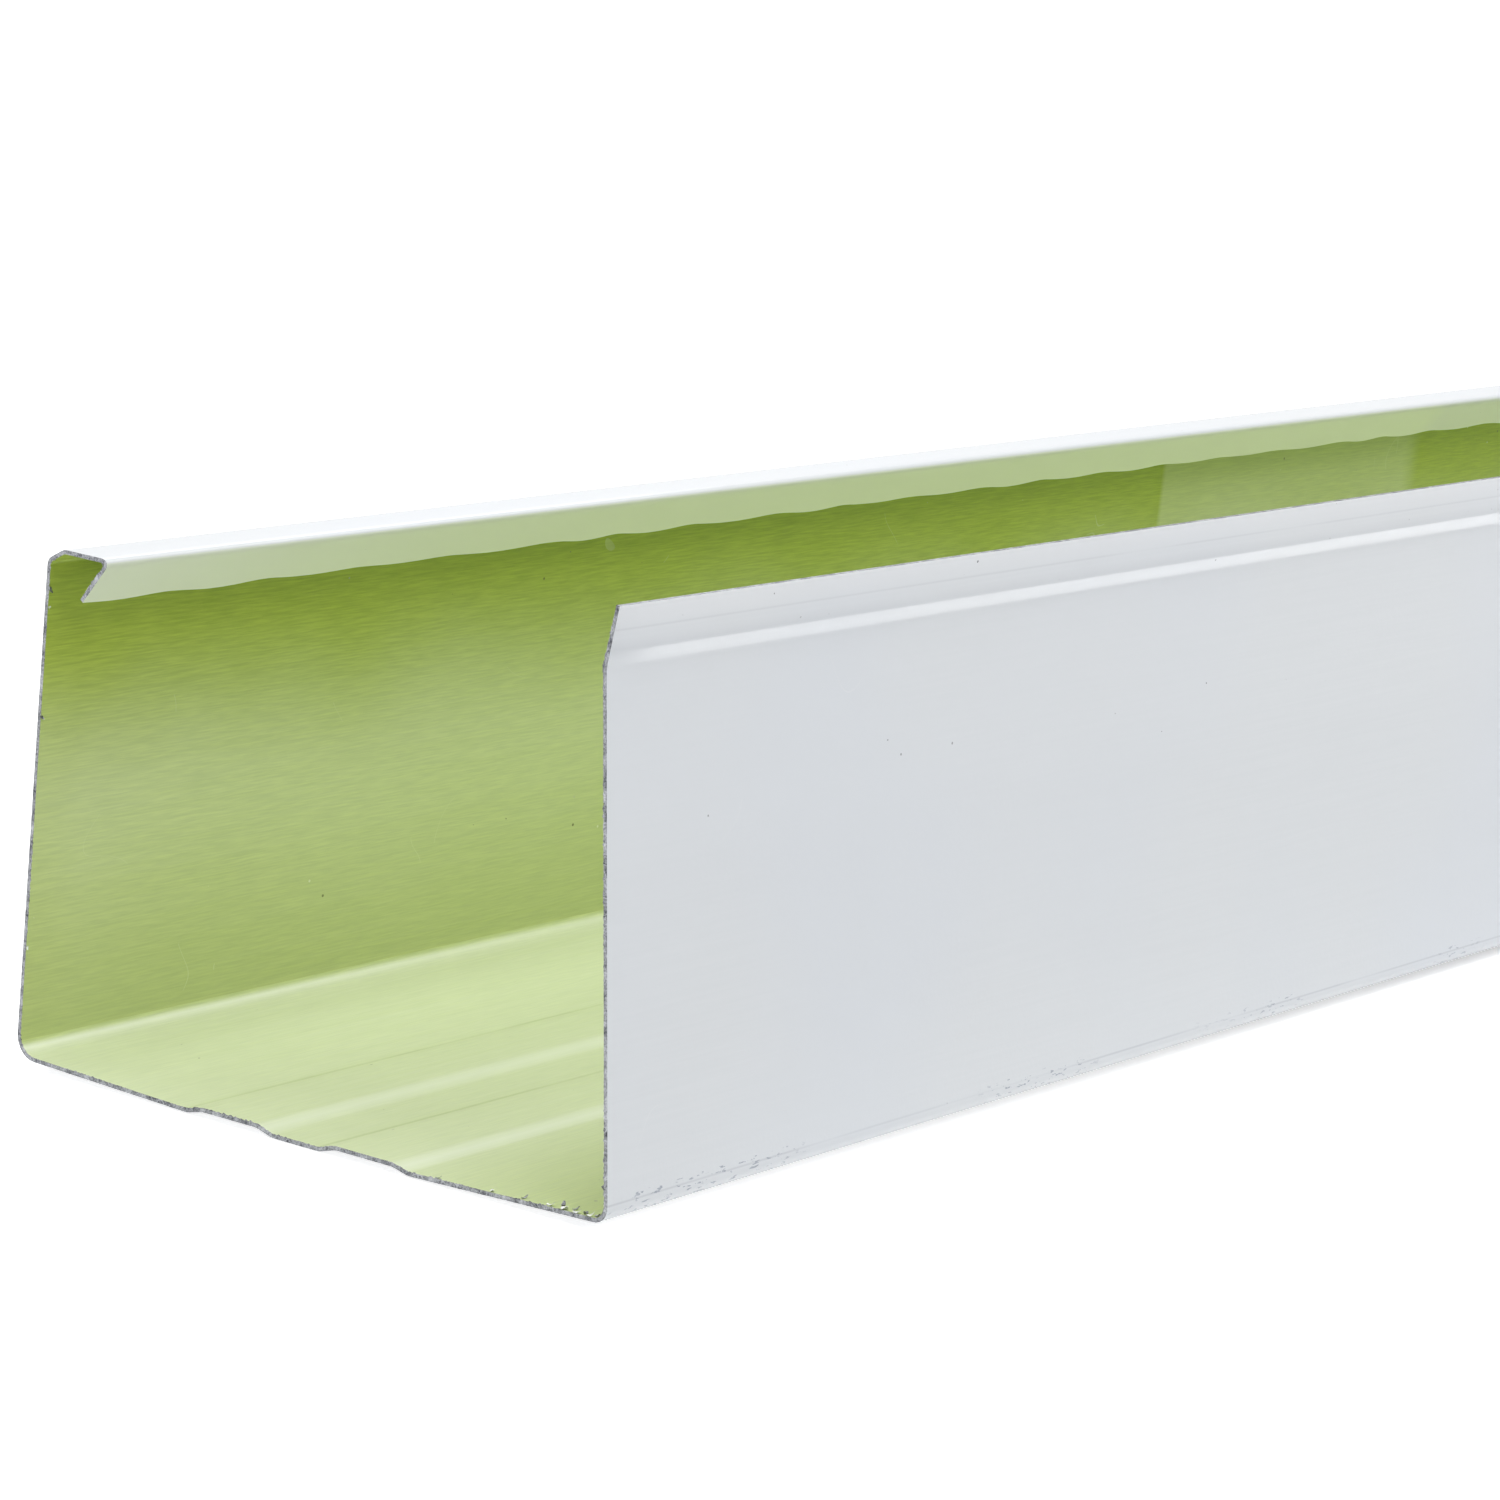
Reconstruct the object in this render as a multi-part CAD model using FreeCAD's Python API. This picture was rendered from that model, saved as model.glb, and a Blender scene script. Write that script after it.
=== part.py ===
import FreeCAD, Part
import math
import os

os.makedirs("parts", exist_ok=True)

# Box gutter roll-formed from one strip of coil-coated aluminium, all lengths in mm.
# +Z is up and +Y runs along the gutter. X goes from the front wall, which carries the
# hooked lip, to the taller back wall that sits against the fascia. The origin is at the
# middle of the trough and of the length, on the level the gutter stands on.

gutterLength = 2000.0
sheetThickness = 0.8

# Trough, measured on the outside between the sharp corners of the folds.
troughWidth = 152.0
frontHeight = 101.2
backHeight = 108.9
frontLean = 4.0
backLean = 3.0
frontFoldRadius = 4.8
backFoldRadius = 3.2

# Floor of the trough: two sloping panels, two stiffening ribs pressed upward, and the
# flat strip between them that carries the gutter when it stands on a level surface.
panelSlope = 1.7
bellyDepth = 1.6
ribSpacing = 34.6
ribTopWidth = 14.4
ribRampRun = 4.0
ribLevel = 0.5
ribRadius = 5.0

# Lip along the front wall: bevelled nose, flange and hooked return.
noseRun = 4.4
noseRise = 2.3
noseRadius = 1.8
crownRadius = 2.4
flangeWidth = 13.2
flangeFall = 2.1
hookLength = 11.9
hookAngle = 49.0
lipRadius = 1.4

# Uneven waves that rolling leaves in the hook's free edge, as (width, depth) from the
# first cut end on. The run repeats along the length.
hookWaves = [(26.0, 0.9), (27.0, 1.2), (26.0, 0.7), (26.0, 0.6), (33.0, 1.0), (20.0, 1.2),
             (26.0, 1.3), (31.0, 1.1), (23.5, 1.2), (26.5, 0.7), (27.0, 0.8), (25.0, 1.3)]
hookMargin = 1.0
trimMargin = 1.0

# Upper edge of the back wall: short joggle and the flared strip above it.
stripHeight = 8.2
flareAngle = 8.2
joggleRise = 2.9
joggleSetOut = 1.2
joggleRadius = 2.0


def along(start, angle, distance):
    direction = math.radians(angle)
    return (start[0] + distance * math.cos(direction), start[1] + distance * math.sin(direction))


def sectionCorners():
    # Sharp corners of the painted face with the outer radius of each fold, from the
    # free edge of the hook round to the free edge of the back wall.
    floorLevel = bellyDepth
    frontCorner = (-troughWidth / 2, floorLevel)
    backCorner = (troughWidth / 2, floorLevel)
    ribOuter = ribSpacing / 2 + ribTopWidth / 2 + ribRampRun
    ribTopOuter = ribOuter - ribRampRun
    ribTopInner = ribTopOuter - ribTopWidth
    ribInner = ribTopInner - ribRampRun
    panelEnd = floorLevel - (troughWidth / 2 - ribOuter) * math.tan(math.radians(panelSlope))
    ribTop = floorLevel - ribLevel

    noseHeight = frontHeight - noseRise
    frontSlant = math.tan(math.radians(frontLean))
    nose = (frontCorner[0] + noseHeight * frontSlant, floorLevel + noseHeight)
    crown = (nose[0] + noseRun, nose[1] + noseRise)
    lipCorner = along(crown, -flangeFall, flangeWidth)
    hookEnd = along(lipCorner, 180.0 + hookAngle, hookLength + hookMargin)

    backSlant = math.tan(math.radians(backLean))
    joggleStart = backHeight - stripHeight - joggleRise
    joggle = (backCorner[0] - joggleStart * backSlant, floorLevel + joggleStart)
    stripFoot = (joggle[0] + joggleSetOut, joggle[1] + joggleRise)
    flare = math.tan(math.radians(flareAngle))
    stripTop = (stripFoot[0] + stripHeight * flare, floorLevel + backHeight)

    return [
        (hookEnd, 0.0),
        (lipCorner, lipRadius),
        (crown, crownRadius),
        (nose, noseRadius),
        (frontCorner, frontFoldRadius),
        ((-ribOuter, panelEnd), ribRadius),
        ((-ribTopOuter, ribTop), ribRadius),
        ((-ribTopInner, ribTop), ribRadius),
        ((-ribInner, 0.0), ribRadius),
        ((ribInner, 0.0), ribRadius),
        ((ribTopInner, ribTop), ribRadius),
        ((ribTopOuter, ribTop), ribRadius),
        ((ribOuter, panelEnd), ribRadius),
        (backCorner, backFoldRadius),
        (joggle, joggleRadius),
        (stripFoot, joggleRadius),
        (stripTop, 0.0),
    ]


def flat(point):
    return FreeCAD.Vector(point[0], 0, point[1])


def leftOf(direction):
    return FreeCAD.Vector(-direction.z, 0, direction.x)


def sheetFace(corners, inset):
    # One face of the sheet as lines and fold arcs, set inward from the painted face.
    points = [flat(corner) for corner, radius in corners]
    headings = [(end - start).normalize() for start, end in zip(points, points[1:])]
    edges = []
    reached = points[0] + leftOf(headings[0]) * inset
    for index in range(1, len(points) - 1):
        arriving = headings[index - 1]
        leaving = headings[index]
        outerRadius = corners[index][1]
        side = 1.0 if arriving.x * leaving.z > arriving.z * leaving.x else -1.0
        setback = outerRadius * math.tan(arriving.getAngle(leaving) / 2)
        centre = points[index] - arriving * setback + leftOf(arriving) * (side * outerRadius)
        reach = side * (outerRadius - side * inset)
        foldStart = centre - leftOf(arriving) * reach
        foldMiddle = centre - leftOf((arriving + leaving).normalize()) * reach
        foldEnd = centre - leftOf(leaving) * reach
        edges.append(Part.LineSegment(reached, foldStart).toShape())
        edges.append(Part.Arc(foldStart, foldMiddle, foldEnd).toShape())
        reached = foldEnd
    last = points[-1] + leftOf(headings[-1]) * inset
    edges.append(Part.LineSegment(reached, last).toShape())
    return edges, points[0] + leftOf(headings[0]) * inset, last


def hookTrim(corners):
    # Solid beyond the hook's free edge, which leaves the waves when it is cut away.
    lipCorner = flat(corners[1][0])
    outward = (flat(corners[0][0]) - lipCorner).normalize()
    acrossSheet = leftOf(outward)
    meanEdge = lipCorner + outward * hookLength - acrossSheet * trimMargin

    def edgePoint(station, depth):
        return meanEdge + outward * depth + FreeCAD.Vector(0, station, 0)

    edges = []
    station = -gutterLength / 2 - hookWaves[-1][0]
    first = edgePoint(station, 0)
    reached = first
    index = -1
    while station < gutterLength / 2:
        width, depth = hookWaves[index % len(hookWaves)]
        crest = edgePoint(station + width / 3, depth / 2)
        middle = edgePoint(station + width * 2 / 3, 0)
        trough = edgePoint(station + width * 5 / 6, -depth / 4)
        end = edgePoint(station + width, 0)
        edges.append(Part.Arc(reached, crest, middle).toShape())
        edges.append(Part.Arc(middle, trough, end).toShape())
        reached = end
        station += width
        index += 1
    clear = outward * (hookMargin + trimMargin)
    edges.append(Part.LineSegment(reached, reached + clear).toShape())
    edges.append(Part.LineSegment(reached + clear, first + clear).toShape())
    edges.append(Part.LineSegment(first + clear, first).toShape())
    outline = Part.Face(Part.Wire(edges))
    return outline.extrude(acrossSheet * (sheetThickness + 2 * trimMargin))


def gutterChannel():
    corners = sectionCorners()
    painted, paintedStart, paintedEnd = sheetFace(corners, 0.0)
    inner, innerStart, innerEnd = sheetFace(corners, sheetThickness)
    backEdge = Part.LineSegment(paintedEnd, innerEnd).toShape()
    hookEdge = Part.LineSegment(innerStart, paintedStart).toShape()
    outline = Part.Wire(painted + [backEdge] + inner[::-1] + [hookEdge])
    section = Part.Face(outline)
    section.translate(FreeCAD.Vector(0, -gutterLength / 2, 0))
    sheet = section.extrude(FreeCAD.Vector(0, gutterLength, 0))
    return sheet.cut(hookTrim(corners))


channel = gutterChannel()
channel.exportStep("parts/gutter_channel.step")
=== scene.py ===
import bpy
import bmesh
import math
from mathutils import Matrix, Vector


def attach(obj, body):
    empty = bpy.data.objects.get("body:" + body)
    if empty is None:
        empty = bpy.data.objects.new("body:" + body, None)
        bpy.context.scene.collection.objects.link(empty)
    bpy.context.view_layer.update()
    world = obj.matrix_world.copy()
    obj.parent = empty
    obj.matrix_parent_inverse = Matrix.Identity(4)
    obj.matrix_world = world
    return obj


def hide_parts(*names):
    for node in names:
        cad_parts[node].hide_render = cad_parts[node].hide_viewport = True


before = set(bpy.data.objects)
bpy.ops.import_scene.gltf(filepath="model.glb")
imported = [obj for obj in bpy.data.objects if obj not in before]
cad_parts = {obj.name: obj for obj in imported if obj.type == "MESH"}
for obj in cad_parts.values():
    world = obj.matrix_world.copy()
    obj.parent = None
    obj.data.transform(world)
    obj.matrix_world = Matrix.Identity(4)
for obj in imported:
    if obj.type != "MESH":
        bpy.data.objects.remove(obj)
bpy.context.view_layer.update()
mm = 0.001
samePlace = 1e-5  # points closer than this count as one

# The folded sheet, in millimetres and degrees. Its section is the one in the part's source.
sheet = {
    "length": 2000.0, "thickness": 0.8,
    "troughWidth": 152.0, "frontHeight": 101.2, "backHeight": 108.9,
    "frontLean": 4.0, "backLean": 3.0, "frontFold": 4.8, "backFold": 3.2,
    "panelSlope": 1.7, "bellyDepth": 1.6,
    "ribSpacing": 34.6, "ribTop": 14.4, "ribRamp": 4.0, "ribLevel": 0.5, "ribFold": 5.0,
    "noseRun": 4.4, "noseRise": 2.3, "noseFold": 1.8, "crownFold": 2.4,
    "flangeWidth": 13.2, "flangeFall": 2.1,
    "hookLength": 11.9, "hookAngle": 49.0, "lipFold": 1.4,
    "stripHeight": 8.2, "flareAngle": 8.2,
    "joggleRise": 2.9, "joggleSetOut": 1.2, "joggleFold": 2.0,
    # each wave of the hook's free edge as width and depth
    "waves": [(26.0, 0.9), (27.0, 1.2), (26.0, 0.7), (26.0, 0.6), (33.0, 1.0), (20.0, 1.2),
              (26.0, 1.3), (31.0, 1.1), (23.5, 1.2), (26.5, 0.7), (27.0, 0.8), (25.0, 1.3)],
    # how finely the mesh is divided, and the angle past which an edge stays sharp
    "stationStep": 40.0, "endStations": [2.0, 4.5, 8.0, 12.0, 18.0],
    "waveStep": 1.6, "foldStep": 14.0, "sharpAngle": 28.0,
    # the joggle's spring beside the first cut end
    "relaxLength": 9.0, "relaxDepth": 0.6,
}


def along(start, angle, distance):
    direction = math.radians(angle)
    return (start[0] + distance * math.cos(direction), start[1] + distance * math.sin(direction))


def ribPlaces(s):
    # distances from the middle to a rib's outer foot, outer top, inner top and inner foot
    outerFoot = s["ribSpacing"] / 2 + s["ribTop"] / 2 + s["ribRamp"]
    outerTop = outerFoot - s["ribRamp"]
    innerTop = outerTop - s["ribTop"]
    return outerFoot, outerTop, innerTop, innerTop - s["ribRamp"]


def sectionCorners(s):
    # sharp corners of the painted face and the fold radius at each, hook to back wall
    half = s["troughWidth"] / 2
    level = s["bellyDepth"]
    outerFoot, outerTop, innerTop, innerFoot = ribPlaces(s)
    panelEnd = level - (half - outerFoot) * math.tan(math.radians(s["panelSlope"]))
    ribTop = level - s["ribLevel"]
    noseHeight = s["frontHeight"] - s["noseRise"]
    nose = (-half + noseHeight * math.tan(math.radians(s["frontLean"])), level + noseHeight)
    crown = (nose[0] + s["noseRun"], nose[1] + s["noseRise"])
    lip = along(crown, -s["flangeFall"], s["flangeWidth"])
    hookEnd = along(lip, 180 + s["hookAngle"], s["hookLength"])
    joggleStart = s["backHeight"] - s["stripHeight"] - s["joggleRise"]
    joggle = (half - joggleStart * math.tan(math.radians(s["backLean"])), level + joggleStart)
    foot = (joggle[0] + s["joggleSetOut"], joggle[1] + s["joggleRise"])
    top = (foot[0] + s["stripHeight"] * math.tan(math.radians(s["flareAngle"])),
           level + s["backHeight"])
    rib = s["ribFold"]
    return [
        (hookEnd, 0), (lip, s["lipFold"]), (crown, s["crownFold"]), (nose, s["noseFold"]),
        ((-half, level), s["frontFold"]),
        ((-outerFoot, panelEnd), rib), ((-outerTop, ribTop), rib),
        ((-innerTop, ribTop), rib), ((-innerFoot, 0), rib),
        ((innerFoot, 0), rib), ((innerTop, ribTop), rib),
        ((outerTop, ribTop), rib), ((outerFoot, panelEnd), rib),
        ((half, level), s["backFold"]),
        (joggle, s["joggleFold"]), (foot, s["joggleFold"]), (top, 0),
    ]


def waveDepth(s, station):
    # how far the hook's free edge stands out of its mean line at this station: each wave swells
    # for two thirds of its width and dips for the rest
    count = len(s["waves"])
    position = -s["length"] / 2 - s["waves"][-1][0]
    index = -1
    while position + s["waves"][index % count][0] < station:
        position += s["waves"][index % count][0]
        index += 1
    width, depth = s["waves"][index % count]
    share = (station - position) / width
    if share < 2 / 3:
        return depth / 2 * math.sin(math.pi * share * 3 / 2)
    return -depth / 4 * math.sin(math.pi * (share - 2 / 3) * 3)


def foldedLine(bm, s):
    # the section as one wire at the first cut end, folds rounded
    corners = sectionCorners(s)
    line = [bm.verts.new((x * mm, -s["length"] / 2 * mm, z * mm)) for (x, z), _ in corners]
    for start, end in zip(line, line[1:]):
        bm.edges.new((start, end))
    for index in range(1, len(corners) - 1):
        before, here, after = (Vector(corners[index + k][0]) for k in (-1, 0, 1))
        turn = (here - before).angle(after - here)
        setback = corners[index][1] * math.tan(turn / 2) * mm
        segments = max(2, round(math.degrees(turn) / s["foldStep"]))
        bmesh.ops.bevel(bm, geom=[line[index]], offset=setback, offset_type="OFFSET",
                        segments=segments, profile=0.5, affect="VERTICES", material=-1)


def growSheet(bm, s):
    # the wire drawn out along the gutter, closer stations near the first cut end
    steps = round(s["length"] / s["stationStep"])
    stations = [0.0] + s["endStations"] + [s["stationStep"] * (k + 1) for k in range(steps)]
    front = bm.edges[:]
    for here, after in zip(stations, stations[1:]):
        grown = bmesh.ops.extrude_edge_only(bm, edges=front)["geom"]
        bmesh.ops.translate(bm, vec=(0, (after - here) * mm, 0),
                            verts=[g for g in grown if isinstance(g, bmesh.types.BMVert)])
        front = [g for g in grown if isinstance(g, bmesh.types.BMEdge)
                 and abs(g.verts[0].co.y - g.verts[1].co.y) < samePlace]
    bmesh.ops.recalc_face_normals(bm, faces=bm.faces[:])
    lowest = min(bm.faces, key=lambda face: face.calc_center_median().z)
    if lowest.normal.z > 0:
        bmesh.ops.reverse_faces(bm, faces=bm.faces[:])


def waveHook(bm, s):
    # the hook's free edge divided and moved in and out, as rolling trims it
    corners = sectionCorners(s)
    hookEnd = Vector((corners[0][0][0], 0, corners[0][0][1])) * mm
    lip = Vector((corners[1][0][0], 0, corners[1][0][1])) * mm
    outward = (hookEnd - lip).normalized()
    cutsOf = {}
    for edge in bm.edges:
        if all((v.co - hookEnd).xz.length < samePlace for v in edge.verts):
            cuts = round(edge.calc_length() / mm / s["waveStep"]) - 1
            cutsOf.setdefault(cuts, []).append(edge)
    for cuts, edges in cutsOf.items():
        if cuts > 0:
            bmesh.ops.subdivide_edges(bm, edges=edges, cuts=cuts)
    for vert in bm.verts:
        if (vert.co - hookEnd).xz.length < samePlace:
            vert.co += outward * waveDepth(s, vert.co.y / mm) * mm


def relaxJoggle(bm, s):
    # sawing lets the joggle spring back a little beside the first cut end
    corners = sectionCorners(s)
    start, foot, top = (corners[k][0][1] * mm for k in (-3, -2, -1))
    for vert in bm.verts:
        share = 1 - (vert.co.y / mm + s["length"] / 2) / s["relaxLength"]
        if vert.co.x < 0 or vert.co.z < start or share <= 0:
            continue
        height = (vert.co.z - start) / (foot - start)
        if vert.co.z >= foot:
            height = (top - vert.co.z) / (top - foot)
        vert.co.x -= s["relaxDepth"] * mm * share ** 2 * max(0.0, height)


def buildSheet(s):
    bm = bmesh.new()
    foldedLine(bm, s)
    growSheet(bm, s)
    waveHook(bm, s)
    relaxJoggle(bm, s)
    painted = set(bm.faces)
    bmesh.ops.solidify(bm, geom=bm.faces[:], thickness=s["thickness"] * mm)
    for face in bm.faces:
        bare = face not in painted and any(p in painted for e in face.edges for p in e.link_faces)
        face.material_index = 0 if face in painted else 2 if bare else 1
        face.smooth = not bare
    sharp = math.radians(s["sharpAngle"])
    for edge in bm.edges:
        edge.smooth = len(edge.link_faces) == 2 and edge.calc_face_angle(0) < sharp
    return bm


def sectionWalk(s, step):
    # evenly spaced stations on the green face, from the hook's free edge to the back wall's top:
    # the place, the direction into the trough and the direction ahead
    corners = sectionCorners(s)
    arcSteps = 6
    points = [Vector(corners[0][0])]
    for index in range(1, len(corners) - 1):
        before, here, after = (Vector(corners[index + k][0]) for k in (-1, 0, 1))
        into, out = (here - before).normalized(), (after - here).normalized()
        turn = into.angle(out)
        setback = corners[index][1] * math.tan(turn / 2)
        start = here - into * setback
        bend = 1 if into.cross(out) > 0 else -1
        centre = start + Vector((-into.y, into.x)) * corners[index][1] * bend
        spoke = start - centre
        for k in range(arcSteps + 1):
            angle = bend * turn * k / arcSteps
            points.append(centre + Vector((spoke.x * math.cos(angle) - spoke.y * math.sin(angle),
                                           spoke.x * math.sin(angle) + spoke.y * math.cos(angle))))
    points.append(Vector(corners[-1][0]))
    walked = []
    left = 0.0
    for start, end in zip(points, points[1:]):
        length = (end - start).length
        if length < samePlace:
            continue
        ahead = (end - start) / length
        inward = Vector((-ahead.y, ahead.x))
        place = left
        while place < length:
            walked.append((start + ahead * place + inward * s["thickness"], inward, ahead))
            place += step
        left = place - length
    return walked


def pickShare(place, seed):
    # a share from 0 to 1 that looks random and is the same on every run
    value = math.sin(place * 12.9898 + seed * 78.233) * 43758.5453
    return value - math.floor(value)


def drawOut(bm, rings, materialIndex=0):
    # the first ring's face extruded from ring to ring into one closed skin
    known = set(bm.faces)
    face = bm.faces.new([bm.verts.new(point) for point in rings[0]])
    for ring in rings[1:]:
        grown = bmesh.ops.extrude_face_region(bm, geom=[face] + face.edges[:])["geom"]
        face = next(g for g in grown if isinstance(g, bmesh.types.BMFace))
        for vert, point in zip(face.verts, ring):
            vert.co = point
    for face in set(bm.faces) - known:
        face.material_index = materialIndex


# The ragged ridge that the saw left along the inner rim of the first cut end, in millimetres.
burr = {
    "step": 0.35, "high": 0.34, "low": 0.04, "deep": 0.22, "root": 0.05, "lean": 0.2,
    "seed": 7.31, "swellPace": 0.061, "wanderPace": 0.017, "wanderReach": 2.0,
}


def buildBurr(s, b):
    bm = bmesh.new()
    end = -s["length"] / 2
    rings = []
    for index, (place, inward, _) in enumerate(sectionWalk(s, b["step"])):
        wander = b["wanderReach"] * math.sin(index * b["wanderPace"])
        swell = 0.5 + 0.5 * math.sin(index * b["swellPace"] + wander)
        ragged = pickShare(index, b["seed"]) ** 3
        tip = place + inward * (b["low"] + (b["high"] - b["low"]) * ragged * swell)
        root = place - inward * b["root"]
        deep = b["deep"] * (0.5 + 0.5 * pickShare(index, b["seed"] + 1))
        rings.append([Vector((root.x, end, root.y)) * mm,
                      Vector((tip.x, end + deep * b["lean"], tip.y)) * mm,
                      Vector((root.x, end + deep, root.y)) * mm])
    drawOut(bm, rings)
    relaxJoggle(bm, s)
    bmesh.ops.recalc_face_normals(bm, faces=bm.faces[:])
    return bm


# Curled chips that lie behind the first cut, and hair-thin slivers along the hook's free edge,
# in millimetres and degrees.
flakes = {
    "step": 0.1, "thickness": 0.07, "curl": 0.9, "curlFrom": 0.35, "lift": 0.08, "clear": 0.03,
    "belly": 0.22, "rim": 0.05, "chipRings": 6, "hairRings": 9, "hairWidth": 0.10, "hairTip": 0.02,
    # each chip as length along the section from the hook, distance behind the cut, size and turn
    "chips": [(2.5, 0.3, 1.1, 30), (4.4, 0.3, 0.8, -40), (9.5, 0.3, 0.7, 80), (33.0, 0.4, 1.2, 15),
              (36.5, 0.3, 0.8, -60), (58.0, 0.3, 0.9, 40), (104.0, 0.3, 0.8, -20),
              (236.0, 0.4, 1.2, 30), (249.0, 0.5, 1.4, -50), (256.0, 1.3, 1.3, 70),
              (262.5, 0.9, 1.6, 10), (264.0, 2.6, 1.4, 120), (266.0, 0.5, 2.0, -35),
              (267.5, 1.9, 1.3, 60), (269.0, 0.4, 1.6, 20), (270.5, 1.1, 1.5, -70),
              (272.0, 0.3, 1.8, 45), (273.5, 1.0, 1.3, -15), (275.0, 2.2, 1.4, 80),
              (276.3, 0.4, 1.9, 25), (277.6, 1.3, 1.5, -45), (279.0, 0.4, 1.7, 60),
              (280.2, 1.6, 1.2, 10), (281.2, 0.4, 1.5, -30), (288.0, 0.3, 0.8, 35)],
    # each sliver as length along the section, distance behind the cut, length, turn and sag
    "hairs": [(0.2, 58.0, 3.6, 168, 0.5), (0.2, 31.0, 2.2, 20, 0.3), (0.3, 118.0, 3.0, 150, 0.4),
              (0.2, 205.0, 4.2, 172, 0.5), (0.2, 262.0, 2.8, 12, 0.35)],
}


def buildFlakes(s, f):
    bm = bmesh.new()
    walk = sectionWalk(s, f["step"])
    end = -s["length"] / 2
    for index, (fromHook, depth, size, turned) in enumerate(f["chips"]):
        place, inward, ahead = walk[round(fromHook / f["step"])]
        side = Vector((ahead.x, 0, ahead.y))
        up = Vector((inward.x, 0, inward.y))
        centre = Vector((place.x, end + depth, place.y))
        angle = math.radians(turned)
        course = (side * math.cos(angle) + Vector((0, 1, 0)) * math.sin(angle)).normalized()
        wide = up.cross(course).normalized()
        thick = up * f["thickness"] / 2
        rings = []
        for k in range(f["chipRings"]):
            share = k / (f["chipRings"] - 1)
            # widest near the middle, narrow at both ends
            half = size * (f["belly"] * math.sin(math.pi * (0.12 + 0.8 * share)) + f["rim"])
            curl = size * f["curl"] * (share - f["curlFrom"]) ** 2
            middle = centre + course * size * (share - 0.5) + up * (f["lift"] + curl)
            middle.y = max(middle.y, end + half + f["clear"])
            rings.append([(middle + wide * half + thick) * mm, (middle - wide * half + thick) * mm,
                          (middle - wide * half - thick) * mm, (middle + wide * half - thick) * mm])
        drawOut(bm, rings, index % 2)
    for fromHook, station, length, turned, sag in f["hairs"]:
        place, inward, ahead = walk[round(fromHook / f["step"])]
        down = Vector((-ahead.x, 0, -ahead.y))
        start = Vector((place.x, end + station, place.y)) + down * waveDepth(s, end + station)
        angle = math.radians(turned)
        course = Vector((0, math.cos(angle), 0)) + down * math.sin(angle)
        rings = []
        for k in range(f["hairRings"]):
            share = k / (f["hairRings"] - 1)
            fromMiddle = 2 * share - 1
            middle = start + course * length * (share - 0.5) + down * sag * (1 - fromMiddle ** 2)
            width = f["hairWidth"] * (1 - 0.8 * abs(fromMiddle)) + f["hairTip"]
            across = Vector((inward.x, 0, inward.y)) * width
            rings.append([(middle + across) * mm, (middle + down * width) * mm,
                          (middle - across) * mm, (middle - down * width) * mm])
        drawOut(bm, rings)
    bmesh.ops.recalc_face_normals(bm, faces=bm.faces[:])
    return bm


def feed(tree, value, socket):
    # a socket is linked, a plain value is set
    if isinstance(value, bpy.types.NodeSocket):
        tree.links.new(value, socket)
    else:
        socket.default_value = value


def addNode(tree, kind, values, **settings):
    node = tree.nodes.new(kind)
    for name, value in settings.items():
        setattr(node, name, value)
    for name, value in values.items():
        feed(tree, value, node.inputs[name])
    return node.outputs


def mathNode(tree, operation, first, second=None, third=None, clamp=False):
    node = tree.nodes.new("ShaderNodeMath")
    node.operation = operation
    node.use_clamp = clamp
    for index, value in enumerate((first, second, third)):
        if value is not None:
            feed(tree, value, node.inputs[index])
    return node.outputs[0]


def product(tree, first, *others):
    for other in others:
        first = mathNode(tree, "MULTIPLY", first, other)
    return first


def addNoise(tree, coords, scale, detail, roughness=0.5):
    values = {"Vector": coords, "Scale": scale, "Detail": detail, "Roughness": roughness}
    return addNode(tree, "ShaderNodeTexNoise", values)["Fac"]


def splitAxes(tree, coords):
    return addNode(tree, "ShaderNodeSeparateXYZ", {"Vector": coords})


def mixColours(tree, factor, first, second):
    node = tree.nodes.new("ShaderNodeMix")
    node.data_type = "RGBA"
    for value, index in ((factor, 0), (first, 6), (second, 7)):
        feed(tree, value, node.inputs[index])
    return node.outputs[2]


def mapRange(tree, value, low, high, toLow=0.0, toHigh=1.0, smooth=False):
    values = {"Value": value, "From Min": low, "From Max": high, "To Min": toLow, "To Max": toHigh}
    kind = "SMOOTHSTEP" if smooth else "LINEAR"
    return addNode(tree, "ShaderNodeMapRange", values, interpolation_type=kind)["Result"]


def newGroup(name, values, results, usesCoords=True):
    # the group, the sockets it takes and the sockets it gives
    group = bpy.data.node_groups.new(name, "ShaderNodeTree")
    sockets = group.interface
    if usesCoords:
        sockets.new_socket(name="Coords", in_out="INPUT", socket_type="NodeSocketVector")
    for socketName, value in values.items():
        socket = sockets.new_socket(name=socketName, in_out="INPUT", socket_type="NodeSocketFloat")
        socket.default_value = value
    for socketName in results:
        sockets.new_socket(name=socketName, in_out="OUTPUT", socket_type="NodeSocketFloat")
    taken = group.nodes.new("NodeGroupInput").outputs
    given = group.nodes.new("NodeGroupOutput").inputs
    return group, taken, given


def placeGroup(tree, group, values):
    return addNode(tree, "ShaderNodeGroup", values, node_tree=group)


def softLine(tree, across, place, width):
    # 1 on the line, falling to 0 at its width to either side
    offset = mathNode(tree, "ABSOLUTE", mathNode(tree, "SUBTRACT", across, place))
    return mathNode(tree, "SUBTRACT", 1.0, mathNode(tree, "DIVIDE", offset, width), clamp=True)


print("building node groups")

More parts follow.
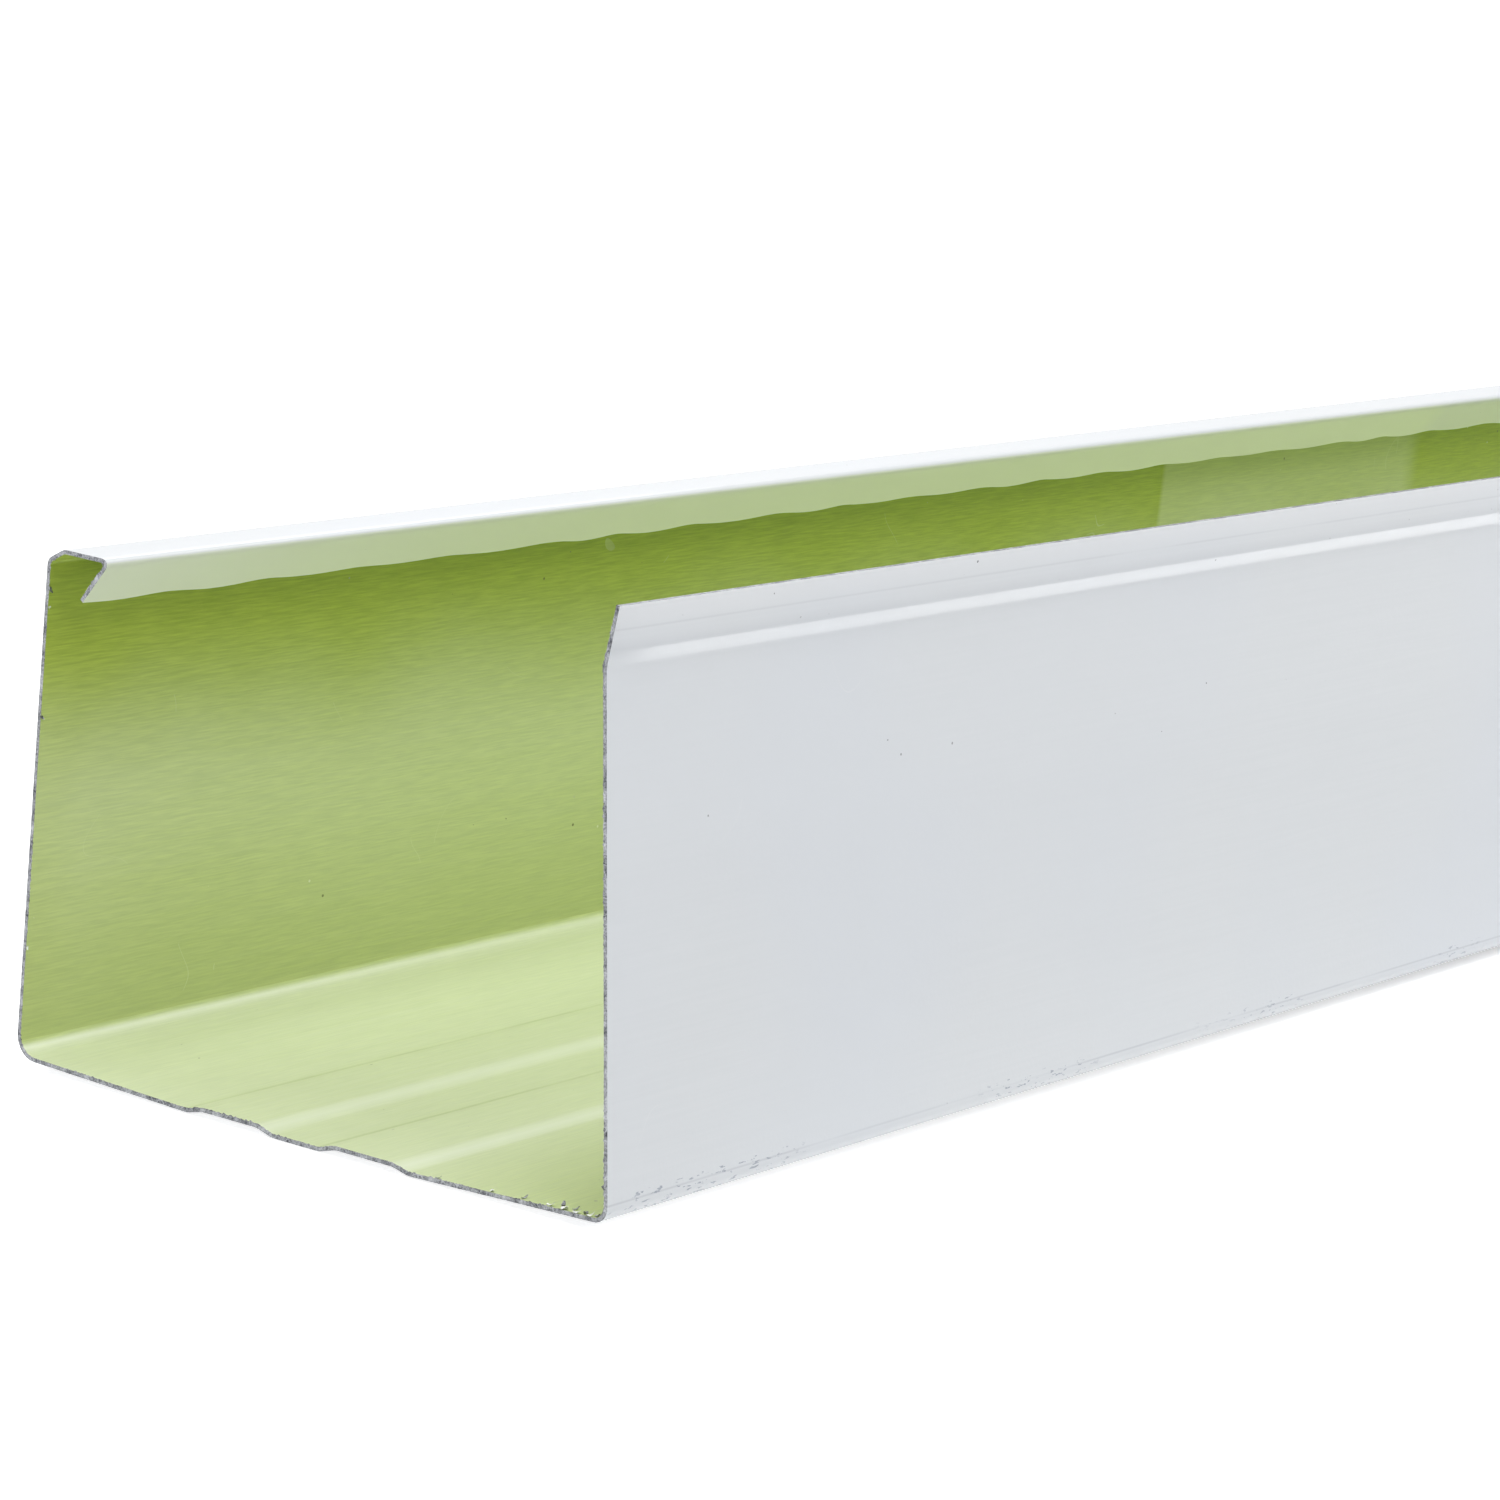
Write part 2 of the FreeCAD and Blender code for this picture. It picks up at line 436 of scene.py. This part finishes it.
# fine lines that the rolls draw along the sheet
rollLines, taken, given = newGroup("rollLines", {"Fineness": 900.0, "Stretch": 60.0}, ["Lines"])
axes = splitAxes(rollLines, taken["Coords"])
fineAxes = {axis: product(rollLines, axes[axis], taken["Fineness"]) for axis in ("X", "Y", "Z")}
fineAxes["Y"] = mathNode(rollLines, "DIVIDE", fineAxes["Y"], taken["Stretch"])
drawn = addNode(rollLines, "ShaderNodeCombineXYZ", fineAxes)["Vector"]
feed(rollLines, addNoise(rollLines, drawn, 1.0, 3.0, 0.6), given["Lines"])

# scattered grains of dust and grit, each cell of the pattern holding one or none
grit, taken, given = newGroup(
    "grit", {"PerMetre": 60.0, "Size": 0.03, "Share": 0.2}, ["Mask", "Tone"])
cells = addNode(grit, "ShaderNodeTexVoronoi", {
    "Vector": taken["Coords"], "Scale": taken["PerMetre"]})
chance = addNode(grit, "ShaderNodeSeparateColor", {"Color": cells["Color"]})
chosen = mathNode(grit, "LESS_THAN", chance["Red"], taken["Share"])
sizeShare = mathNode(grit, "ADD", mathNode(grit, "POWER", chance["Green"], 3.0), 0.35)
inside = mathNode(grit, "LESS_THAN", cells["Distance"], product(grit, sizeShare, taken["Size"]))
feed(grit, product(grit, chosen, inside), given["Mask"])
feed(grit, chance["Blue"], given["Tone"])

# soft unevenness of a coating, from orange peel to slow waves in the sheet
unevenness, taken, given = newGroup(
    "unevenness", {"PerMetre": 600.0, "Slow": 9.0}, ["Peel", "Sway"])
feed(unevenness, addNoise(unevenness, taken["Coords"], taken["PerMetre"], 2.0), given["Peel"])
feed(unevenness, addNoise(unevenness, taken["Coords"], taken["Slow"], 1.0, 0.4), given["Sway"])

# painted sheen that stands in for the green coat's pale reflection: most on the trough's floor,
# less on the walls, thinned as painted shade near the cut end, the back wall, the wall's foot and
# under the lip, and one painted reflection on a stretch of the front wall. Each pair is the two
# places, in metres, that it fades between.
paintedSheenPlaces = {
    "floorEdge": (0.0030, 0.0052), "floorThins": (0.026, 0.070), "floorThinnest": 0.52,
    "wallTop": (0.062, 0.098), "wallFoot": (0.020, 0.066), "footShare": 0.70,
    "cutEnd": (-1.0, -0.985), "cutShare": 0.85, "driftScale": 16.0, "driftReach": 0.022,
    "patchStart": (-0.6195, -0.6175), "patchEnd": (-0.500, -0.489),
    "patchWall": (-0.058, -0.062), "patchRise": (0.035, 0.060),
}
dustFilm, taken, given = newGroup(
    "dustFilm", {"FloorShare": 0.5, "WallShare": 0.3, "PatchShare": 0.2}, ["Film"])
axes = splitAxes(dustFilm, taken["Coords"])
drift = addNoise(dustFilm, taken["Coords"], paintedSheenPlaces["driftScale"], 2.0)
height = mathNode(dustFilm, "MULTIPLY_ADD", drift, paintedSheenPlaces["driftReach"], axes["Z"])
onFloor = mapRange(dustFilm, axes["Z"], *paintedSheenPlaces["floorEdge"], 1.0, 0.0, smooth=True)
onWall = product(
    dustFilm,
    mapRange(dustFilm, height, *paintedSheenPlaces["wallTop"], 1.0, 0.0, smooth=True),
    mapRange(dustFilm, height, *paintedSheenPlaces["wallFoot"], paintedSheenPlaces["footShare"], 1.0, smooth=True),
    mathNode(dustFilm, "SUBTRACT", 1.0, onFloor),
    mapRange(dustFilm, axes["Y"], *paintedSheenPlaces["cutEnd"], paintedSheenPlaces["cutShare"], 1.0, smooth=True))
# painted reflection on a stretch of the front wall, sharp at its start and soft at its end
paintedReflection = product(
    dustFilm,
    mapRange(dustFilm, axes["Y"], *paintedSheenPlaces["patchStart"]),
    mapRange(dustFilm, axes["Y"], *paintedSheenPlaces["patchEnd"], 1.0, 0.0, smooth=True),
    mapRange(dustFilm, axes["X"], *paintedSheenPlaces["patchWall"]),
    mapRange(dustFilm, axes["Z"], *paintedSheenPlaces["patchRise"], smooth=True))
thinning = mapRange(
    dustFilm, axes["X"], *paintedSheenPlaces["floorThins"], 1.0, paintedSheenPlaces["floorThinnest"])
paintedSheen = product(dustFilm, onFloor, thinning, taken["FloorShare"])
paintedSheen = mathNode(dustFilm, "MULTIPLY_ADD", onWall, taken["WallShare"], paintedSheen)
paintedSheen = mathNode(dustFilm, "MULTIPLY_ADD", paintedReflection, taken["PatchShare"], paintedSheen)
feed(dustFilm, paintedSheen, given["Film"])

# a soft-edged line running along the sheet
linePlace = {"Across": 0.0, "Place": 0.0, "Width": 0.0003}
lineMask, taken, given = newGroup("lineMask", linePlace, ["Mask"], usesCoords=False)
feed(lineMask, softLine(lineMask, taken["Across"], taken["Place"], taken["Width"]), given["Mask"])

# a thin line left by one roll, running along the sheet and fading in and out
rollMark, taken, given = newGroup("rollMark", {**linePlace, "Steady": 0.5}, ["Mask"])
line = softLine(rollMark, taken["Across"], taken["Place"], taken["Width"])
fading = mapRange(rollMark, addNoise(rollMark, taken["Coords"], 22.0, 1.0, 0.6), 0.38, 0.60)
shown = mathNode(rollMark, "ADD", fading, taken["Steady"], clamp=True)
feed(rollMark, product(rollMark, line, shown), given["Mask"])

# rubbed smears stretched along the gutter inside a band of heights
scuffs, taken, given = newGroup("scuffs", {"Low": 0.0, "High": 0.01, "Share": 0.5}, ["Mask"])
axes = splitAxes(scuffs, taken["Coords"])
stretched = addNode(scuffs, "ShaderNodeCombineXYZ", {
    "Y": product(scuffs, axes["Y"], 330.0), "Z": product(scuffs, axes["Z"], 1300.0)})["Vector"]
limit = mathNode(scuffs, "SUBTRACT", 1.0, taken["Share"])
limit = mathNode(scuffs, "MULTIPLY_ADD", limit, 0.35, 0.45)
rubbed = mathNode(scuffs, "GREATER_THAN", addNoise(scuffs, stretched, 1.0, 3.0, 0.65), limit)
close = mapRange(scuffs, addNoise(scuffs, taken["Coords"], 13.0, 1.0), 0.50, 0.58)
above = mathNode(scuffs, "GREATER_THAN", axes["Z"], taken["Low"])
below = mathNode(scuffs, "LESS_THAN", axes["Z"], taken["High"])
feed(scuffs, product(scuffs, rubbed, close, above, below), given["Mask"])

# sparse hairline scratches: level lines of a slow pattern, broken up by a second one
scratches, taken, given = newGroup(
    "scratches", {"PerMetre": 30.0, "Width": 0.004, "Share": 0.4}, ["Mask"])
course = addNoise(scratches, taken["Coords"], taken["PerMetre"], 0.0)
fromLevel = mathNode(scratches, "ABSOLUTE", mathNode(scratches, "SUBTRACT", course, 0.5))
hairline = mathNode(scratches, "LESS_THAN", fromLevel, taken["Width"])
limit = mathNode(scratches, "SUBTRACT", 0.72, product(scratches, taken["Share"], 0.25))
broken = addNoise(scratches, taken["Coords"], 41.0, 1.0)
kept = mathNode(scratches, "GREATER_THAN", broken, limit)
feed(scratches, product(scratches, hairline, kept), given["Mask"])


def startMaterial(name, shaderValues):
    material = bpy.data.materials.new(name)
    material.use_nodes = True
    tree = material.node_tree
    shader = tree.nodes["Principled BSDF"]
    for socket, value in shaderValues.items():
        shader.inputs[socket].default_value = value
    coords = addNode(tree, "ShaderNodeTexCoord", {})["Object"]
    return material, tree, shader, coords


def addBump(tree, shader, layers):
    # layers of height over each other, each with its height in metres
    values = {}
    for height, distance in layers:
        values.update({"Height": height, "Strength": 1.0, "Distance": distance})
        values["Normal"] = addNode(tree, "ShaderNodeBump", values)["Normal"]
    feed(tree, values["Normal"], shader.inputs["Normal"])


def tint(tree, base, mask, strength, colour):
    return mixColours(tree, product(tree, mask, strength), base, colour)


# The white face. Places and widths are in metres.
whitePaint = {
    "colour": (0.810, 0.840, 0.868, 1), "shade": (0.794, 0.826, 0.854, 1),
    "cool": (0.790, 0.826, 0.870, 1),
    "darkLine": (0.57, 0.60, 0.64, 1), "marks": [(0.0050, 0.65), (0.1062, 0.35)], "markWidth": 0.00032,
    # painted shade at the strip's crease, and painted highlights on the strip's top and along its
    # rim, as soft bands along the joggled strip: height, width, colour and strength
    "paintedRimHighlight": (0.935, 0.955, 0.985, 1),
    "paintedStripLightAndShade": [(0.1027, 0.0020, "darkLine", 0.30), (0.1094, 0.0042, "paintedRimHighlight", 0.55),
              (0.1105, 0.0006, "paintedRimHighlight", 1.0)],
    # painted green bounce light on the hook's face, which is found by its middle and half width
    "paintedGreenBounce": (0.860, 0.905, 0.830, 1), "hookAcross": (-0.0560, 0.0046), "hookUp": (0.0960, 0.0056),
    "paintedBounceEnd": (-0.512, -0.504), "paintedBounceBeyond": 0.25,
    "scuff": (0.36, 0.40, 0.48, 1), "scuffLow": 0.0012, "scuffHigh": 0.0062,
    "scuffShare": 0.56, "scuffStrength": 0.85, "scuffRoughness": 0.2,
    "scratch": (0.88, 0.90, 0.92, 1), "scratchStrength": 0.35,
    "speckDark": (0.13, 0.14, 0.16, 1), "speckPale": (0.52, 0.54, 0.57, 1), "speckStrength": 0.85,
    "speckShare": 0.13, "stripSpecks": 0.40, "stripFoot": (0.099, 0.101),
    "roughness": (0.44, 0.56), "coatWeight": 0.75, "coatRoughness": 0.16,
    "peelHeight": 0.000022, "swayHeight": 0.0005, "scratchDepth": 0.00001, "speckHeight": 0.00004,
}


def whiteCoat(p):
    material, tree, shader, coords = startMaterial("whiteCoat", {
        "IOR": 1.5, "Specular IOR Level": 0.15,
        "Coat Weight": p["coatWeight"], "Coat Roughness": p["coatRoughness"]})
    axes = splitAxes(tree, coords)
    lines = placeGroup(tree, rollLines, {
        "Coords": coords, "Fineness": 1500.0, "Stretch": 60.0})["Lines"]
    surface = placeGroup(tree, unevenness, {"Coords": coords, "PerMetre": 900.0, "Slow": 11.0})
    base = mixColours(tree, mapRange(tree, lines, 0.35, 0.7), p["shade"], p["colour"])
    base = mixColours(tree, mapRange(tree, surface["Sway"], 0.42, 0.62), base, p["cool"])
    for place, strength in p["marks"]:
        darkLine = placeGroup(tree, rollMark, {
            "Coords": coords, "Across": axes["Z"], "Place": place, "Width": p["markWidth"],
            "Steady": 0.25})["Mask"]
        base = tint(tree, base, darkLine, strength, p["darkLine"])
    rubbed = placeGroup(tree, scuffs, {
        "Coords": coords, "Low": p["scuffLow"], "High": p["scuffHigh"],
        "Share": p["scuffShare"]})["Mask"]
    base = tint(tree, base, rubbed, p["scuffStrength"], p["scuff"])
    fine = placeGroup(tree, scratches, {
        "Coords": coords, "PerMetre": 55.0, "Width": 0.0020, "Share": 0.16})["Mask"]
    base = tint(tree, base, fine, p["scratchStrength"], p["scratch"])
    # painted green bounce light on the hook's face, fading out along the gutter
    onHook = product(tree, mathNode(tree, "COMPARE", axes["X"], *p["hookAcross"]),
                     mathNode(tree, "COMPARE", axes["Z"], *p["hookUp"]),
                     mapRange(tree, axes["Y"], *p["paintedBounceEnd"], 1.0, p["paintedBounceBeyond"]))
    base = mixColours(tree, onHook, base, p["paintedGreenBounce"])
    # painted shade at the strip's crease and painted highlights on its top and rim
    for place, width, colour, strength in p["paintedStripLightAndShade"]:
        paintedBand = placeGroup(tree, lineMask, {
            "Across": axes["Z"], "Place": place, "Width": width})["Mask"]
        base = tint(tree, base, paintedBand, strength, p[colour])
    share = mapRange(tree, axes["Z"], *p["stripFoot"], p["speckShare"], p["stripSpecks"])
    dust = placeGroup(tree, grit, {
        "Coords": coords, "PerMetre": 250.0, "Size": 0.055, "Share": share})
    dustTone = mixColours(tree, mapRange(tree, dust["Tone"], 0.3, 0.9),
                          p["speckDark"], p["speckPale"])
    base = tint(tree, base, dust["Mask"], p["speckStrength"], dustTone)
    feed(tree, base, shader.inputs["Base Color"])
    rough = mapRange(tree, lines, 0.3, 0.7, *p["roughness"])
    rough = mathNode(tree, "MULTIPLY_ADD", rubbed, p["scuffRoughness"], rough)
    feed(tree, rough, shader.inputs["Roughness"])
    addBump(tree, shader, [(surface["Peel"], p["peelHeight"]), (surface["Sway"], p["swayHeight"]),
                           (fine, -p["scratchDepth"]), (dust["Mask"], p["speckHeight"])])
    return material


# The green face. Places and widths are in metres.
greenPaint = {
    "colour": (0.515, 0.640, 0.086, 1), "shade": (0.375, 0.495, 0.052, 1),
    "paintedSheen": (0.87, 0.925, 0.74, 1), "paintedSheenStreak": (0.82, 0.885, 0.69, 1),
    "floorShare": 0.74, "wallShare": 0.50, "patchShare": 0.40,
    "paintedFootShade": (0.36, 0.43, 0.13, 1), "paintedFootShadeShare": 0.30, "paintedFootShadeFades": (0.004, 0.046),
    "paintedFootShadeStart": 0.005, "floorTop": 0.004,
    # strengths of the painted crease shade and the painted ridge highlights along the two ribs
    "paintedCreaseShade": (0.36, 0.46, 0.16, 1), "paintedCreaseWidth": 0.0009, "paintedCreaseShades": (0.40, 0.45),
    "paintedHighlight": (0.86, 0.92, 0.74, 1), "paintedRidgeWidth": 0.0030, "paintedRidgeHighlights": (0.70, 0.80),
    "foldLine": 0.0036, "foldWidth": 0.0008,
    "foldFades": (-0.96, -0.80), "foldStrength": (0.65, 0.10),
    "scratch": (0.72, 0.80, 0.50, 1), "scratchStrength": 0.45,
    "speckDark": (0.09, 0.11, 0.03, 1), "speckPale": (0.80, 0.86, 0.66, 1), "speckStrength": 0.8,
    "roughness": (0.36, 0.50), "paintedSheenRoughness": 0.15, "coatWeight": 0.5, "coatRoughness": 0.3,
    "peelHeight": 0.000025, "swayHeight": 0.0004, "lineHeight": 0.000016,
    "scratchDepth": 0.00001, "speckHeight": 0.00004,
}


def greenCoat(p, s):
    material, tree, shader, coords = startMaterial("greenCoat", {
        "IOR": 1.6, "Coat Weight": p["coatWeight"], "Coat Roughness": p["coatRoughness"]})
    axes = splitAxes(tree, coords)
    short = placeGroup(tree, rollLines, {
        "Coords": coords, "Fineness": 2600.0, "Stretch": 20.0})["Lines"]
    long = placeGroup(tree, rollLines, {
        "Coords": coords, "Fineness": 900.0, "Stretch": 90.0})["Lines"]
    surface = placeGroup(tree, unevenness, {"Coords": coords, "PerMetre": 900.0, "Slow": 9.0})
    streaks = mapRange(tree, short, 0.35, 0.68)
    base = mixColours(tree, streaks, p["shade"], p["colour"])
    # painted sheen laid over the green, as its pale reflection, with painted shade where it thins
    paintedSheen = placeGroup(tree, dustFilm, {
        "Coords": coords, "FloorShare": p["floorShare"], "WallShare": p["wallShare"],
        "PatchShare": p["patchShare"]})["Film"]
    paintedSheen = product(tree, paintedSheen, mapRange(tree, long, 0.3, 0.7, 0.94, 1.05))
    base = mixColours(tree, paintedSheen, base, mixColours(tree, streaks, p["paintedSheenStreak"], p["paintedSheen"]))
    # painted shade low on the walls, darker towards the wall's foot
    paintedFootShadeMask = mapRange(tree, axes["Z"], *p["paintedFootShadeFades"], p["paintedFootShadeShare"], 0.0, smooth=True)
    offFloor = mathNode(tree, "GREATER_THAN", axes["Z"], p["paintedFootShadeStart"])
    base = tint(tree, base, paintedFootShadeMask, offFloor, p["paintedFootShade"])
    onFloor = mathNode(tree, "LESS_THAN", axes["Z"], p["floorTop"])
    outerFoot, outerTop, innerTop, innerFoot = ribPlaces(s)
    halfRamp = s["ribRamp"] / 2
    # painted shade in the creases at the ribs' folds
    for place, strength in zip((-outerFoot, innerFoot), p["paintedCreaseShades"]):
        paintedCreaseShade = placeGroup(tree, rollMark, {
            "Coords": coords, "Across": axes["X"], "Place": place * mm,
            "Width": p["paintedCreaseWidth"], "Steady": 0.60})["Mask"]
        base = tint(tree, base, product(tree, paintedCreaseShade, strength), onFloor, p["paintedCreaseShade"])
    # painted highlights along the ribs' ramps
    for place, strength in zip((-innerFoot - halfRamp, outerTop + halfRamp), p["paintedRidgeHighlights"]):
        paintedHighlight = placeGroup(tree, lineMask, {
            "Across": axes["X"], "Place": place * mm, "Width": p["paintedRidgeWidth"]})["Mask"]
        base = tint(tree, base, product(tree, paintedHighlight, strength), onFloor, p["paintedHighlight"])
    # painted highlight along the folds at the walls' feet, strongest near the cut end
    paintedFoldHighlight = placeGroup(tree, lineMask, {
        "Across": axes["Z"], "Place": p["foldLine"], "Width": p["foldWidth"]})["Mask"]
    fades = mapRange(tree, axes["Y"], *p["foldFades"], *p["foldStrength"], smooth=True)
    base = tint(tree, base, paintedFoldHighlight, fades, p["paintedHighlight"])
    fine = placeGroup(tree, scratches, {
        "Coords": coords, "PerMetre": 60.0, "Width": 0.0022, "Share": 0.20})["Mask"]
    base = tint(tree, base, fine, p["scratchStrength"], p["scratch"])
    dust = placeGroup(tree, grit, {
        "Coords": coords, "PerMetre": 230.0, "Size": 0.066, "Share": 0.20})
    dustTone = mixColours(tree, mapRange(tree, dust["Tone"], 0.35, 0.65),
                          p["speckDark"], p["speckPale"])
    base = tint(tree, base, dust["Mask"], p["speckStrength"], dustTone)
    feed(tree, base, shader.inputs["Base Color"])
    rough = mapRange(tree, short, 0.3, 0.7, *p["roughness"])
    rough = mathNode(tree, "MULTIPLY_ADD", paintedSheen, p["paintedSheenRoughness"], rough)
    feed(tree, rough, shader.inputs["Roughness"])
    addBump(tree, shader, [(surface["Peel"], p["peelHeight"]), (surface["Sway"], p["swayHeight"]),
                           (short, p["lineHeight"]), (fine, -p["scratchDepth"]),
                           (dust["Mask"], p["speckHeight"])])
    return material


sawnMetal = {"dark": (0.04, 0.043, 0.052, 1), "pale": (0.48, 0.495, 0.52, 1), "tones": (0.38, 0.66)}
chipMetal = {"dark": (0.42, 0.43, 0.45, 1), "pale": (0.90, 0.91, 0.92, 1), "tones": (0.30, 0.55)}


def bareMetal(name, p):
    material, tree, shader, coords = startMaterial(name, {"Metallic": 1.0})
    saw = addNoise(tree, coords, 2300.0, 3.0, 0.7)
    coarse = addNoise(tree, coords, 380.0, 2.0, 0.6)
    fine = placeGroup(tree, scratches, {
        "Coords": coords, "PerMetre": 420.0, "Width": 0.02, "Share": 0.8})["Mask"]
    tone = mathNode(tree, "MULTIPLY_ADD", saw, 0.6, product(tree, coarse, 0.4))
    base = mixColours(tree, mapRange(tree, tone, *p["tones"]), p["dark"], p["pale"])
    base = tint(tree, base, fine, 0.5, p["pale"])
    feed(tree, base, shader.inputs["Base Color"])
    feed(tree, mapRange(tree, saw, 0.3, 0.7, 0.35, 0.6), shader.inputs["Roughness"])
    addBump(tree, shader, [(saw, 0.00010), (fine, -0.00003)])
    return material


def placeMesh(bm, name, materials):
    mesh = bpy.data.meshes.new(name)
    bm.to_mesh(mesh)
    bm.free()
    for material in materials:
        mesh.materials.append(material)
    placed = bpy.data.objects.new(name, mesh)
    bpy.context.collection.objects.link(placed)
    return placed


def finishPiece(bm, name, materials):
    piece = placeMesh(bm, name, materials)
    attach(piece, "root")
    return piece


print("building the folded sheet")
white = whiteCoat(whitePaint)
green = greenCoat(greenPaint, sheet)
bare = bareMetal("bareEdge", sawnMetal)
chips = bareMetal("bareChips", chipMetal)
gutterSheet = finishPiece(buildSheet(sheet), "gutterSheet", [white, green, bare])
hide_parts("gutter_channel")

print("building what the saw left")
finishPiece(buildBurr(sheet, burr), "cutBurr", [bare])
finishPiece(buildFlakes(sheet, flakes), "sawFlakes", [chips, bare])

print("setting the floor, lights and camera")

# The floor's glow grows between two distances from the middle. Each lamp is its place, its
# target, its width and height, all in metres, and its power in watts.
studio = {
    "floorRadius": 14.0, "floorDrop": 0.0002,
    "floorBounce": (0.82, 0.82, 0.82, 1), "floorSeen": (0.93, 0.93, 0.93, 1),
    "glowReach": (0.45, 1.3), "glow": (0.38, 0.95), "worldLevel": 0.115,
    "lamps": {
        "overhead": ((0.5, -1.18, 2.1), (0.0, -1.02, 0.05), 1.1, 1.3, 24.5),
        "overheadBack": ((0.5, 0.95, 2.1), (0.0, 0.80, 0.05), 1.4, 1.3, 18.0),
        "highSide": ((1.7, -0.90, 1.5), (0.0, -0.80, 0.05), 1.4, 1.2, 8.4),
        "highSideBack": ((1.7, 0.90, 1.5), (0.0, 0.80, 0.05), 1.4, 1.2, 5.5),
        "farSide": ((-1.5, -0.95, 1.5), (0.0, -0.85, 0.05), 1.4, 1.2, 10.5),
        "farSideBack": ((-1.5, 0.80, 1.5), (0.0, 0.70, 0.05), 1.4, 1.2, 9.5),
    },
    # the lit strip of table, which shows only as a gleam on the joggle
    "tableGleam": ((0.115, 0.0, 0.026), (0.758, 0.0, 0.792), 2.9, 0.06, 2.2),
}


def lightPathWhite(tree):
    # 1 where the camera, a reflection or a refraction looks, 0 for the light itself
    path = addNode(tree, "ShaderNodeLightPath", {})
    seen = mathNode(tree, "MAXIMUM", path["Is Camera Ray"], path["Is Glossy Ray"])
    return mathNode(tree, "MAXIMUM", seen, path["Is Transmission Ray"])


def buildFloor(s):
    bm = bmesh.new()
    bmesh.ops.create_circle(bm, cap_ends=True, segments=64, radius=s["floorRadius"])
    bmesh.ops.translate(bm, vec=(0, 0, -s["floorDrop"]), verts=bm.verts[:])
    material, tree, shader, coords = startMaterial("paleFloor", {
        "Roughness": 0.9, "Specular IOR Level": 0.1})
    seen = lightPathWhite(tree)
    colour = mixColours(tree, seen, s["floorBounce"], s["floorSeen"])
    feed(tree, colour, shader.inputs["Base Color"])
    reach = addNode(tree, "ShaderNodeVectorMath", {0: coords}, operation="LENGTH")["Value"]
    level = mapRange(tree, reach, *s["glowReach"], *s["glow"], smooth=True)
    glow = addNode(tree, "ShaderNodeEmission", {
        "Color": (1, 1, 1, 1), "Strength": product(tree, seen, level)})
    both = addNode(tree, "ShaderNodeAddShader", {0: shader.outputs[0], 1: glow[0]})
    feed(tree, both[0], tree.nodes["Material Output"].inputs["Surface"])
    placeMesh(bm, "floor", [material])


def buildWorld(s):
    world = bpy.data.worlds.new("studioWorld")
    bpy.context.scene.world = world
    world.use_nodes = True
    tree = world.node_tree
    background = tree.nodes["Background"].inputs
    background["Color"].default_value = (1, 1, 1, 1)
    level = s["worldLevel"]
    feed(tree, mathNode(tree, "MULTIPLY_ADD", lightPathWhite(tree), 1.0 - level, level),
         background["Strength"])


def addLamp(name, place, target, width, height, power):
    light = bpy.data.lights.new(name, "AREA")
    light.shape = "RECTANGLE"
    light.size = width
    light.size_y = height
    light.energy = power
    lamp = bpy.data.objects.new(name, light)
    bpy.context.collection.objects.link(lamp)
    lamp.location = place
    lamp.rotation_euler = (Vector(target) - Vector(place)).to_track_quat("-Z", "Y").to_euler()
    return lamp


buildFloor(studio)
buildWorld(studio)
for lampName, values in studio["lamps"].items():
    addLamp(lampName, *values)
gleam = addLamp("tableGleam", *studio["tableGleam"])
gleam.visible_diffuse = False
gleam.visible_camera = False

# Place in metres, two directions, and the lens and sensor width in millimetres.
camera = {
    "place": (0.56009, -1.57615, 0.23167), "forward": (-0.61045, 0.769217, -0.188829),
    "upward": (-0.152584, 0.11973, 0.981011), "lens": 107.82, "sensor": 36.0,
    "nearest": 0.05, "farthest": 60.0,
}


def buildCamera(c):
    data = bpy.data.cameras.new("camera")
    data.sensor_width = c["sensor"]
    data.lens = c["lens"]
    data.clip_start = c["nearest"]
    data.clip_end = c["farthest"]
    eye = bpy.data.objects.new("camera", data)
    bpy.context.collection.objects.link(eye)
    back = -Vector(c["forward"]).normalized()
    right = Vector(c["upward"]).cross(back).normalized()
    turned = Matrix((right, back.cross(right), back)).transposed().to_4x4()
    eye.matrix_world = Matrix.Translation(c["place"]) @ turned
    bpy.context.scene.camera = eye


buildCamera(camera)
bpy.context.scene.view_settings.view_transform = "Standard"

print("done")
